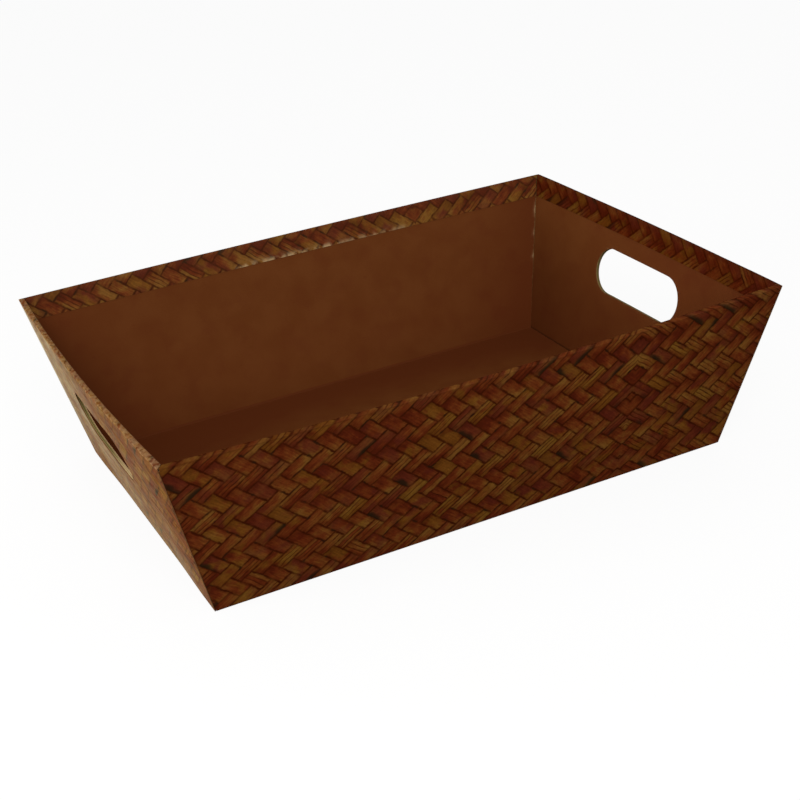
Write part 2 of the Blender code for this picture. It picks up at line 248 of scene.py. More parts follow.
# Fineness of the sheets
FOLD_STEPS = 6
CREASE_STEPS = 10
WALL_ROWS = 26
STRIP_ROWS = 6
LONG_COLUMNS = 97
CROWDED = 0.25  # the share of a long wrap's columns that crowd towards its sides
TAB_COLUMNS = 9
HOLE_SIDE_ROWS = 36
LINING_FLOOR_ROWS = 28
LINING_WALL_ROWS = 40
LINING_COLUMNS = 121
NEAR_FOLD = np.array([0.4, 0.9, 1.6, 3.0]) * MM  # rows beside a fold or a cut edge, where wear and bends need them
NEAR_SIDE = np.array([0.993, 0.9955, 0.998])  # columns beside the long lining's cut edges, as shares of its half
HOLE_MARGIN = 3 * MM  # from an end wrap's folds to the rows that close round its hole
RINGS = np.concatenate([np.linspace(0, 0.73, 14)[:-1], np.linspace(0.73, 1, 20)])
PLAIN_RINGS = np.linspace(0, 1, 24)
FLOOR_LINES = 9

HAIR = 0.01 * MM  # the least length that counts, and the gap left between two layers that meet
WELD = 0.001 * MM  # points that are this close become one
DECIMALS = 7  # of a metre, to which rows are told apart
SHARP = 40 * DEGREE
SLACK = 0.6 * MM  # how far a piece may stop short of its CAD nodes' box, or pass it

# Widths of the humps that mark wear, chips, painted shade and a painted glint
FOLD_WEAR = 0.9 * MM
CORNER_WEAR = 0.6 * MM
HOLE_WEAR = 0.5 * MM
FRAY = 1.9 * MM
CHIPS = np.array([(85.3, 3.4), (69.3, 1.9), (53.3, 1.9)]) * MM  # middle and reach, up the back right corner
CHIP_WIDTH = 0.9 * MM
SIDE_WEAR = 1.2 * MM
CREASE_SHADOW = 1.3 * MM
FLOOR_SHADOW = 0.6 * MM
CORNER_SHADE = 28 * MM
CREASE_EASE = 0.8 * MM


def bell(distance, width):
    """A smooth hump, exp(-(distance / width)^2)."""
    return np.exp(-((distance / width) ** 2))


def ease(value, start, end):
    """A smooth step from 0 at start to 1 at end: 3 s^2 - 2 s^3, where s runs evenly from 0 to 1 between them."""
    held = np.clip((value - start) / (end - start), 0, 1)
    return held * held * (3 - 2 * held)


def told_apart(*runs):
    """All the numbers of some runs, in order and each once."""
    return np.unique(np.round(np.concatenate(runs), DECIMALS))


def lengths_along(path):
    """The distance along a path to each of its points."""
    return np.concatenate([[0], np.cumsum(np.linalg.norm(np.diff(path, axis=0), axis=1))])


def rounded(corners, radii, steps):
    """A path with its inner corners rounded.

    Each corner becomes an arc that touches both runs. Its centre lies on the corner's bisector, radius / sin(half
    the corner's angle) away, and its points turn evenly from one touching point to the other.
    """
    corners = np.array(corners, float)
    path = [corners[0]]
    for before, corner, after, radius in zip(corners, corners[1:], corners[2:], radii):
        back = (before - corner) / np.linalg.norm(before - corner)
        onward = (after - corner) / np.linalg.norm(after - corner)
        half = math.acos(np.dot(back, onward)) / 2
        bisector = (back + onward) / np.linalg.norm(back + onward)
        centre = corner + bisector * radius / math.sin(half)
        start = corner + back * radius / math.tan(half) - centre
        end = corner + onward * radius / math.tan(half) - centre
        turn = math.pi - 2 * half
        angles = np.linspace(0, turn, steps + 1)[:, None]
        path.extend(centre + (np.sin(turn - angles) * start + np.sin(angles) * end) / math.sin(turn))
    return np.array([*path, corners[-1]])


def level_in(wall):
    """The level way in from the wall, as (depth, up)."""
    return np.array([math.cos(wall.lean), -math.sin(wall.lean)])


class WrapFold:
    """A wrap's cross-section, from its edge under the base to its edge inside the rim.

    "way" is the distance along the paper, and on the wall it equals "up". lift is how far the paper's outer face
    lies below the wall's outer face: it moves the part on the wall in, and leaves the turned-in strip where it is.
    """

    def __init__(self, tray, wall):
        sizes = tray.sizes
        fold = np.array([0, wall.up_at(tray.wrap_level, 0)])
        corners = [
            fold + level_in(wall) * sizes.turn_under,
            fold,
            (0, wall.slope),
            (wall.rim_depth, wall.slope),
            (wall.rim_depth, wall.slope - sizes.turn_in),
        ]
        path = rounded(corners, (sizes.base_fold, sizes.rim_fold, sizes.rim_fold), FOLD_STEPS)
        low, high = 1 + FOLD_STEPS, 2 + FOLD_STEPS
        way = lengths_along(path)
        way += path[low, 1] - way[low]
        self.wall, self.path, self.way = wall, path, way
        self.low, self.high = way[low], way[high]
        self.rim = (way[high], way[high + FOLD_STEPS], way[high + FOLD_STEPS + 1], way[high + 2 * FOLD_STEPS + 1])
        self.folds = (way[1 + FOLD_STEPS // 2], np.mean(self.rim[:2]), np.mean(self.rim[2:]))

    def at(self, way, lift=0):
        """(depth, up) at a way along the paper. lift counts fully up to the rim and fades to nothing across it."""
        depth, up = (np.interp(way, self.way, column) for column in self.path.T)
        carried = np.interp(way, (self.rim[1], self.rim[2]), (1, 0))
        sunk = np.interp(way, (self.low, self.high), (math.tan(self.wall.lean), 0))
        return depth + lift * carried, up - lift * sunk

    def rows(self):
        """The ways at which the paper has rows: the folds' own, and more beside them."""
        beside = (self.low + NEAR_FOLD, self.high - NEAR_FOLD, self.way[-1] - NEAR_FOLD)
        plain = np.linspace(self.low, self.high, WALL_ROWS)
        return told_apart(self.way, *beside, plain, np.linspace(self.rim[3], self.way[-1], STRIP_ROWS))

    def wear(self, way):
        """The wear of the three folds: a hump across each."""
        return sum(bell(way - fold, FOLD_WEAR) for fold in self.folds)


def quads_of(grid, loop=False):
    """The quads of a grid of point numbers, anticlockwise where rows go up and columns go right."""
    if loop:
        grid = np.concatenate([grid, grid[:, :1]], axis=1)
    corners = [grid[:-1, :-1], grid[:-1, 1:], grid[1:, 1:], grid[1:, :-1]]
    return np.stack(corners, axis=-1).reshape(-1, 4)


def laid(along, way):
    """A grid of flat points from its levels and columns."""
    return np.stack(np.broadcast_arrays(along, way), axis=-1)


def weld(*patches, loop=None):
    """Joins grids of flat points, and a grid that closes on itself, where their points coincide."""
    points, quads, start = [], [], 0
    for patch in (*patches, loop):
        if patch is None:
            continue
        count = patch.shape[0] * patch.shape[1]
        points.append(patch.reshape(-1, 2))
        quads.append(quads_of(np.arange(count).reshape(patch.shape[:2]) + start, patch is loop))
        start += count
    points = np.concatenate(points)
    _, first, number = np.unique(np.round(points / WELD), axis=0, return_index=True, return_inverse=True)
    return points[first], number.reshape(-1)[np.concatenate(quads)]


def vertex_normals(points, quads):
    """Each point's normal: the sum of the crossed diagonals of the quads round it, made one long."""
    a, b, c, d = (points[quads[:, k]] for k in range(4))
    crossed = np.cross(c - a, d - b)
    normals = np.zeros_like(points)
    for k in range(4):
        np.add.at(normals, quads[:, k], crossed)
    return normals / np.linalg.norm(normals, axis=1, keepdims=True)


def add_object(name, data):
    """A new object in the scene."""
    made = bpy.data.objects.new(name, data)
    bpy.context.scene.collection.objects.link(made)
    return made


def sheet(name, points, quads, thickness, flat, finishes, marks=None, inside=False):
    """A closed sheet: a front face, a back face one thickness behind it, and a rim along every open edge.

    The attribute "sheet" holds (along, way, depth into the sheet) for the materials. finishes are the materials of
    the face, the back and the rim. marks are more attributes, by name. inside says that the face shows inwards.
    """
    if inside:
        quads = quads[:, ::-1]
    count = len(points)
    behind = points - vertex_normals(points, quads) * thickness
    starts, ends = quads.ravel(), np.roll(quads, -1, axis=1).ravel()
    open_edge = ~np.isin(starts * count + ends, ends * count + starts)
    a, b = starts[open_edge], ends[open_edge]
    rim = np.stack([b, a, a + count, b + count], axis=1)
    faces = np.concatenate([quads, quads[:, ::-1] + count, rim])
    mesh = bpy.data.meshes.new(name)
    mesh.from_pydata(np.concatenate([points, behind]).tolist(), [], faces.tolist())
    for finish in finishes:
        mesh.materials.append(finish)
    kinds = np.repeat([0, 1, 2], [len(quads), len(quads), len(rim)])
    mesh.polygons.foreach_set("material_index", kinds.astype(np.int32))
    place = np.concatenate([np.column_stack([flat, np.full(count, depth)]) for depth in (0, thickness)])
    mesh.attributes.new("sheet", "FLOAT_VECTOR", "POINT").data.foreach_set("vector", place.astype(np.float32).ravel())
    for mark, values in (marks or {}).items():
        both = np.concatenate([values, values]).astype(np.float32)
        mesh.attributes.new(mark, "FLOAT", "POINT").data.foreach_set("value", both)
    mesh.shade_smooth()
    mesh.set_sharp_from_angle(angle=SHARP)
    return add_object(name, mesh)


def seat(piece, slot, *nodes):
    """Puts a piece in place of its CAD nodes. It has to fill their box to within the slack."""
    boxes = [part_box(node) for node in nodes]
    points = np.array(piece.bound_box)
    low = np.min([box[0] for box in boxes], axis=0)
    high = np.max([box[1] for box in boxes], axis=0)
    gap = max(np.abs(points.min(0) - low).max(), np.abs(points.max(0) - high).max())
    if gap > SLACK:
        raise ValueError(f"{piece.name} departs from its frame by {gap / MM:.2f} mm")
    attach(piece, "root")
    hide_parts(*nodes)


class Columns:
    """Columns across a sheet: close together for a margin at each side, and even in between."""

    def __init__(self, margin, side_count, middle_count=40):
        inset = np.linspace(0, margin, side_count)
        middle = np.linspace(-1, 1, middle_count + 2)[1:-1]
        ones = np.ones(side_count)
        self.spans = np.concatenate([-ones, middle, ones])
        self.offsets = np.concatenate([inset, -middle * margin, -inset[::-1]])

    def across(self, half):
        """along = span * half + offset, where half is the sheet's half width."""
        return self.spans * half + self.offsets


WRAP_COLUMNS = Columns(24 * MM, 17)
PLAIN_COLUMNS = Columns(20 * MM, 6)


def hole_outline(tray, wall):
    """A hand hole's radius, half the length of its straight runs, and how far up the slope its middle lies."""
    radius = tray.sizes.hole_height / 2
    return radius, tray.sizes.hole_length / 2 - radius, wall.slope - tray.sizes.hole_drop


def round_the_hole(tray, wall, half, low, high, columns, shares):
    """Flat loops round a hand hole, from its outline with two straight runs and two half circles to the edges.

    Both outlines start at the top left and go clockwise: top run, right side, bottom run, left side, with as many
    points in each. A loop is hole + share * (edge - hole).
    """
    count = len(columns.spans)
    down = np.linspace(high, low, HOLE_SIDE_ROWS + 2)[1:-1]
    sides = half(down)
    top, bottom = (np.column_stack([columns.across(half(up)), np.full(count, up)]) for up in (high, low))
    right, left = np.column_stack([sides, down]), np.column_stack([-sides, down])
    edge = np.concatenate([top, right, bottom[::-1], left[::-1]])
    radius, straight, middle = hole_outline(tray, wall)
    turn = np.linspace(math.pi / 2, -math.pi / 2, HOLE_SIDE_ROWS + 2)[1:-1]
    run = np.column_stack([np.linspace(-straight, straight, count), np.full(count, radius)])
    arc = np.column_stack([straight + radius * np.cos(turn), radius * np.sin(turn)])
    hole = np.concatenate([run, arc, -run, -arc]) + (0, middle)
    return hole + shares[:, None, None] * (edge - hole)


def hole_wear(tray, wall, flat, width):
    """A hump at the hand hole's edge. The distance from it is the distance from its middle line, less its radius."""
    radius, straight, middle = hole_outline(tray, wall)
    beyond = np.clip(np.abs(flat[:, 0]) - straight, 0, None)
    return bell(np.hypot(beyond, flat[:, 1] - middle) - radius, width)


def long_wrap_half(tray, wall, fold, way):
    """Half the long wrap's width at a way: it ends where its fold round the corner starts, or at its mitre."""
    depth, up = fold.at(way)
    mitre = np.maximum(depth, tray.sizes.corner_fold)
    return tray.right.reach(wall.height_at(up, depth), tray.wrapped + mitre)


def fold_long_wrap(tray, wall, fold, corner, flat):
    """Folds a long wrap's flat points round the wall, and its tabs round the corners.

    Past the sheet's half width a point follows the corner's path, given as lengths and as depths in the end wall
    and in the long wall. It then lies at the reach of both walls at its height, and the nearer wall bows it.
    """
    along, way = flat.T
    depth, up = fold.at(way)
    points = wall.place(along, up, depth)
    past = np.abs(along) - long_wrap_half(tray, wall, fold, way)
    lengths, end_depths, long_depths = corner
    end_depth, long_depth = np.interp(past, lengths, end_depths), np.interp(past, lengths, long_depths)
    height = wall.height_at(up, depth)
    for side, end_wall in ((1, wall.to_right), (-1, wall.to_left)):
        here = (past > 0) & (along * side > 0)
        x, y = end_wall.reach(height, end_depth), wall.reach(height, long_depth)
        round_long = wall.place(side * x, wall.up_at(height, long_depth), long_depth)
        round_end = end_wall.place(-side * y, end_wall.up_at(height, end_depth), end_depth)
        on_end = end_depth - tray.wrapped < long_depth
        turned = np.where(on_end[:, None], round_end, round_long)
        points = np.where(here[:, None], turned, points)
    return points


def long_wrap(tray, wall, name, finishes, frayed):
    """A long wrap: a sheet with a tab at each side, worn along its folds, and frayed inside the back rim.

    Its columns are at the half width times share, which is a mean of an even run and of a sine's.
    """
    sizes = tray.sizes
    fold = WrapFold(tray, wall)
    tab_low = wall.up_at(tray.wrap_level, 0) + sizes.tab_trim
    tab_high = wall.slope - sizes.tab_trim
    rows = told_apart(fold.rows(), [tab_low, tab_high])
    run = sizes.corner_tab
    path = rounded([(tray.wrapped + run, 0), (tray.wrapped, 0), (tray.wrapped, run)], [sizes.corner_fold], FOLD_STEPS)
    path = path[1:]
    past = lengths_along(path)
    even = np.linspace(-1, 1, LONG_COLUMNS)
    share = np.sin(even * math.pi / 2) * CROWDED + even * (1 - CROWDED)
    main = laid(share * long_wrap_half(tray, wall, fold, rows)[:, None], rows[:, None])
    tab_rows = rows[(rows > tab_low - HAIR) & (rows < tab_high + HAIR)][:, None]
    edge = long_wrap_half(tray, wall, fold, tab_rows)
    steps = np.concatenate([past[:-1], np.linspace(past[-2], past[-1], TAB_COLUMNS)[1:]])
    flat, quads = weld(main, laid(edge + steps, tab_rows), laid(-(edge + steps[::-1]), tab_rows))
    along, way = flat.T
    past_edge = np.abs(along) - long_wrap_half(tray, wall, fold, way)
    on_wall = (way > fold.low) & (way < fold.high)
    corner_wear = 0.6 * bell(past_edge - past[-2] / 2, CORNER_WEAR) * on_wall
    marks = {
        "wear": np.maximum(fold.wear(way), corner_wear),
        "fray": bell(way - fold.way[-1], FRAY) * frayed(along),
    }
    points = fold_long_wrap(tray, wall, fold, (past, *path.T), flat)
    return sheet(name, points, quads, tray.wrapped - HAIR, flat, finishes, marks)


def end_wrap(tray, wall, name, finishes):
    """An end wrap: it lies on the long wraps' tabs at its sides and steps down onto its board between them.

    The step is lift = (board's depth below the tabs) * ease(inset, tab, tab + run), where inset is the distance in
    from the sheet's side edge.
    """
    sizes = tray.sizes
    fold = WrapFold(tray, wall)

    def half(way):
        depth, up = fold.at(way)
        return wall.to_right.reach(wall.height_at(up, depth), depth)

    rows = fold.rows()
    low, high = fold.low + HOLE_MARGIN, fold.high - HOLE_MARGIN
    strips = [
        laid(WRAP_COLUMNS.across(half(strip)[:, None]), strip[:, None])
        for strip in (np.append(rows[rows < low - HAIR], low), np.append(high, rows[rows > high + HAIR]))
    ]
    flat, quads = weld(*strips, loop=round_the_hole(tray, wall, half, low, high, WRAP_COLUMNS, RINGS))
    along, way = flat.T
    tab = sizes.corner_tab + tray.wrapped
    lift = (wall.board_depth - tray.wrapped) * ease(half(way) - np.abs(along), tab, tab + sizes.step_run)
    depth, up = fold.at(way, lift)
    wear = np.maximum(fold.wear(way), 0.6 * hole_wear(tray, wall, flat, HOLE_WEAR))
    marks = {"wear": wear, "fray": 0 * wear}
    return sheet(name, wall.place(along, up, depth), quads, tray.wrapped - HAIR, flat, finishes, marks)


def end_panel(tray, wall, low, high, depth):
    """A plain sheet at one depth of an end wall, between the long boards, with its hand hole: flat, quads, points."""

    def half(up):
        return wall.to_right.reach(wall.height_at(up, depth), wall.to_right.lining_back)

    flat, quads = weld(loop=round_the_hole(tray, wall, half, low, high, PLAIN_COLUMNS, PLAIN_RINGS))
    return flat, quads, wall.place(flat[:, 0], flat[:, 1], np.full(len(flat), depth))


def end_board(tray, wall, name, finishes):
    """An end wall's board: a flat-cut sheet on the bowed wall."""
    low = wall.up_at(tray.board_level, wall.board_depth)
    flat, quads, points = end_panel(tray, wall, low, wall.slope - tray.wrapped, wall.board_depth)
    return sheet(name, points, quads, tray.sizes.board, flat, finishes)


def end_lining(tray, wall, name, finishes):
    """An end wall's lining, from the floor to just below the rim.

    It has painted shade, deeper low down at its right and high up at its left.
    """
    low = wall.up_at(tray.floor_back, wall.lining_depth)
    flat, quads, points = end_panel(tray, wall, low, wall.slope - tray.sizes.lining_drop, wall.lining_depth)
    along, way = flat.T
    high, right = ease(way, 0, 85 * MM), ease(along, -60 * MM, 90 * MM)
    marks = {
        "wear": 0.3 * hole_wear(tray, wall, flat, HOLE_WEAR),
        # painted shade: deeper low down at the right and high up at the left
        "painted_shade": right * 0.75 * (1 - high) + (1 - right) * (0.15 + 0.45 * high),
        # a painted shadow line along the lining's foot on the floor
        "gap": bell(way - low, FLOOR_SHADOW),
    }
    thickness = tray.sizes.lining + tray.sizes.glue - HAIR
    return sheet(name, points, quads, thickness, flat, finishes, marks, inside=True)


def long_lining(tray, name, finishes):
    """One sheet up the front wall, across the floor and up the back wall, with a soft bend at each.

    The way runs from the floor's middle line, less than nothing towards the front. Each half follows the path
    (depth, up) of its own wall: level to the bend, an arc, and then straight up the slope. The painted shade grows
    towards the corners as 1 / (1 + (distance / shade)^2), towards the bend on the floor and the floor's left end,
    and low down on the walls.
    """
    sizes = tray.sizes
    front, back = tray.front, tray.back
    crease = np.array([front.lining_depth, front.up_at(tray.floor_level, front.lining_depth)])
    middle = crease + level_in(front) * front.reach(tray.floor_level, front.lining_depth)
    top = (front.lining_depth, front.slope - sizes.lining_drop)
    path = rounded([middle, crease, top], [sizes.floor_crease], CREASE_STEPS)
    ways = lengths_along(path)
    bend_start, bend_end = ways[1], ways[-2]

    def section(way):
        """(depth, up) and the sheet's half width at a way."""
        depth, up = (np.interp(np.abs(way), ways, column) for column in path.T)
        return depth, up, tray.right.reach(front.height_at(up, depth), tray.right.lining_depth + sizes.glue)

    floor_rows = np.linspace(0, bend_start, LINING_FLOOR_ROWS)
    wall_rows = np.linspace(bend_end, ways[-1], LINING_WALL_ROWS)
    half_rows = told_apart(ways, floor_rows, wall_rows, [bend_end + CREASE_EASE])
    rows = np.concatenate([-half_rows[:0:-1], half_rows])
    share = np.unique(np.concatenate([np.linspace(-1, 1, LINING_COLUMNS), NEAR_SIDE, -NEAR_SIDE]))
    flat, quads = weld(laid(share * section(rows)[2][:, None], rows[:, None]))
    along, way = flat.T
    depth, up, half = section(way)
    points = np.where((way < 0)[:, None], front.place(along, up, depth), back.place(-along, up, depth))

    from_side = half - np.abs(along)
    corner = 1 / (1 + (from_side / CORNER_SHADE) ** 2)
    on_wall = ease(np.abs(way), bend_end, bend_end + CREASE_EASE)
    on_floor = ease(bend_start - np.abs(way), 52 * MM, 10 * MM) + 0.45 * ease(along, -30 * MM, -90 * MM)
    low = 1 - ease(up, 15 * MM, 65 * MM)
    marks = {
        "chip": sum(bell(up - place, reach) for place, reach in CHIPS) * bell(half - along, CHIP_WIDTH) * (way > 0),
        # painted shade in the corners, low down on the walls, near the floor's bend and at its left end
        "painted_shade": on_wall * (0.15 * low + corner * (0.8 + 0.3 * low)) + (1 - on_wall) * (on_floor + 0.4 * corner),
        "wear": 0.25 * bell(from_side, SIDE_WEAR) * on_wall * ease(up, 0, 70 * MM),
        # a painted shadow line along the middle of the floor's bend
        "gap": 0.45 * bell(np.abs(way) - (bend_start + bend_end) / 2, CREASE_SHADOW),
    }
    return sheet(name, points, quads, sizes.lining + sizes.glue - HAIR, flat, finishes, marks)


class Flow:
    """A node's output. Arithmetic on it adds nodes, of three numbers at once where it is a vector or a colour."""

    def __init__(self, make, socket):
        self.make, self.socket = make, socket

    def do(self, operation, *others):
        """Any of the Math node's operations, or the Vector Math node's."""
        kind = "Math" if self.socket.type == "VALUE" else "VectorMath"
        return self.make.add(kind, dict(enumerate((self, *others))), operation=operation)

    def __add__(self, other):
        return self.do("ADD", other)

    def __sub__(self, other):
        return self.do("SUBTRACT", other)

    def __rsub__(self, number):
        return self.make.add("Math", {0: number, 1: self}, operation="SUBTRACT")

    def __mul__(self, other):
        if self.socket.type == "VALUE" or isinstance(other, tuple):
            return self.do("MULTIPLY", other)
        return self.make.add("VectorMath", {0: self, 3: other}, operation="SCALE")

    def __truediv__(self, other):
        return self.do("DIVIDE", other)

    def most(self, other):
        return self.do("MAXIMUM", other)

    def between(self, low, high):
        """A value from 0 to 1 turned into one from low to high."""
        return self.make.add("MapRange", {"Value": self, "To Min": low, "To Max": high})

    def spread(self, width):
        """A value round 0.5 turned into one round 0: 0 becomes -width and 1 becomes width."""
        return self.make.add("MapRange", {"Value": self, "To Min": -width, "To Max": width}, clamp=False)

    def step(self, start, end, low=0.0, high=1.0):
        """A smooth step from low, at start, to high, at end."""
        feeds = {"Value": self, "From Min": start, "From Max": end, "To Min": low, "To Max": high}
        return self.make.add("MapRange", feeds, interpolation_type="SMOOTHSTEP")


class Nodes:
    """A material's or a world's nodes, and short ways to add to them. Most calls return a Flow to feed on."""

    def __init__(self, owner):
        owner.use_nodes = True
        self.nodes, self.links = owner.node_tree.nodes, owner.node_tree.links

    def feed(self, socket, value):
        """Joins an output to a socket, or sets the socket to a number, a vector or a colour."""
        if isinstance(value, Flow):
            self.links.new(value.socket, socket)
        elif socket.type == "RGBA":
            socket.default_value = (*value, 1)
        else:
            socket.default_value = value

    def add(self, kind, feeds, output=0, **settings):
        """A new node, fed and set as given, and one of its outputs."""
        node = self.nodes.new("ShaderNode" + kind)
        for name, value in settings.items():
            setattr(node, name, value)
        for socket, value in feeds.items():
            self.feed(node.inputs[socket], value)
        return Flow(self, node.outputs[output])

    def parts(self, vector):
        """A vector's three numbers."""
        return [Flow(self, output) for output in self.add("SeparateXYZ", {0: vector}).socket.node.outputs]

    def whole(self, x, y, z):
        return self.add("CombineXYZ", {0: x, 1: y, 2: z})

    def pick(self, share, first, second):
        """first where share is 0 and second where it is 1."""
        return self.add("Mix", {0: share, 2: first, 3: second})

    def blend(self, share, first, second):
        """The same for two colours."""
        return self.add("Mix", {0: share, 6: first, 7: second}, 2, data_type="RGBA")

    def noise(self, place, scale, detail=2.0, output=0):
        """Cloudy noise with so many waves a unit of place, which is a millimetre in the papers."""
        return self.add("TexNoise", {"Vector": place, "Scale": scale, "Detail": detail}, output)

    def random(self, cell):
        """Three random numbers from 0 to 1 for each cell."""
        return self.parts(self.add("TexWhiteNoise", {"Vector": cell}, 1))

    def attribute(self, name, output="Fac"):
        """One of the marks that a sheet's points hold."""
        return self.add("Attribute", {}, output, attribute_name=name)

    def sheet_place(self):
        """The place on the sheet in millimetres: along, way and depth."""
        return self.attribute("sheet", "Vector") * (1 / MM)

    def object_place(self):
        """The place in the tray, in millimetres."""
        return self.add("TexCoord", {}, "Object") * (1 / MM)

    def ramp(self, value, stops):
        """The colour at a value along a row of colours, each of which stands at its position."""
        made = self.add("ValToRGB", {0: value})
        elements = made.socket.node.color_ramp.elements
        elements.remove(elements[1])
        for number, (position, tint) in enumerate(stops):
            element = elements[0] if number == 0 else elements.new(position)
            element.position = position
            element.color = (*tint, 1)
        return made

    def mix_last(self, share, shader, second, last):
        """Feeds the tree's last node: a shader node where share is 0, and the second one's output where it is 1."""
        mixed = self.add("MixShader", {0: share, 1: Flow(self, shader.outputs[0]), 2: second})
        self.feed(self.nodes[last].inputs[0], mixed)

    def seen(self, *rays):
        """1 for rays from the camera and of the kinds named, and 0 for the rays that gather soft light."""
        total = self.add("LightPath", {}, "Is Camera Ray")
        path = total.socket.node
        for ray in rays:
            total = total.most(Flow(self, path.outputs[ray]))
        return total


class Finish(Nodes):
    """A material that is made of one shader, with its plain roughness and gloss."""

    def __init__(self, name, roughness, gloss):
        self.material = bpy.data.materials.new(name)
        super().__init__(self.material)
        self.shader = self.nodes["Principled BSDF"]
        self.shader.inputs["Roughness"].default_value = roughness
        self.shader.inputs["Specular IOR Level"].default_value = gloss

    def bump(self, height, distance):
        """The surface's relief: height runs from 0 to 1, and distance is what 1 stands for."""
        relief = self.add("Bump", {"Height": height, "Distance": distance, "Strength": 1.0})
        self.feed(self.shader.inputs["Normal"], relief)

    def grazing_gloss(self, most, tint, roughness, kept):
        """A varnish that mirrors light only at a grazing angle: most times (1 - cosine) to a power, times kept."""
        mirror = self.add("BsdfAnisotropic", {"Color": tint, "Roughness": roughness})
        facing = self.add("LayerWeight", {"Blend": 0.5}, 1)
        share = facing.do("POWER", GRAZING_POWER) * most * kept
        self.mix_last(share, self.shader, mirror, "Material Output")

    def finish(self, tint, roughness=None):
        """Gives the shader its colour, and its roughness where that isn't plain. Returns the material."""
        self.feed(self.shader.inputs["Base Color"], tint)
        if roughness is not None:
            self.feed(self.shader.inputs["Roughness"], roughness)
        return self.material


GRAZING_POWER = 18.0
RIM_START = (105.0, 108.0)  # millimetres up a wrap, between which a rim's painted shade begins
RISING, FALLING = 0.54, 0.45  # how far along the row of strip colours the two sets of strips lie
MARK_LENGTH, MARK_WIDTH = 9.5, 3.2  # how far a burnt mark reaches along and across its strip, in millimetres


class Page:
    """One wrap's own part of the print, and how it looks there.

    warmth shifts all strips towards gold, and haze is the share of the paper's core colour laid evenly over them.
    The share after haze is painted shade: the shadow colour laid from the rim inwards. rubbed is how pale the worn
    folds are, the share after it is painted shade that darkens the folds, and lively scales the strips' contrast.
    """

    def __init__(self, number, shift, seam=None, warmth=0.0, haze=0.0, dim=0.0, rubbed=0.02, fold_shade=0.25, lively=1.0):
        self.number, self.shift, self.seam = number, shift, seam
        self.warmth, self.haze, self.dim, self.lively = warmth, haze, dim, lively
        self.rubbed, self.fold_shade = rubbed, fold_shade


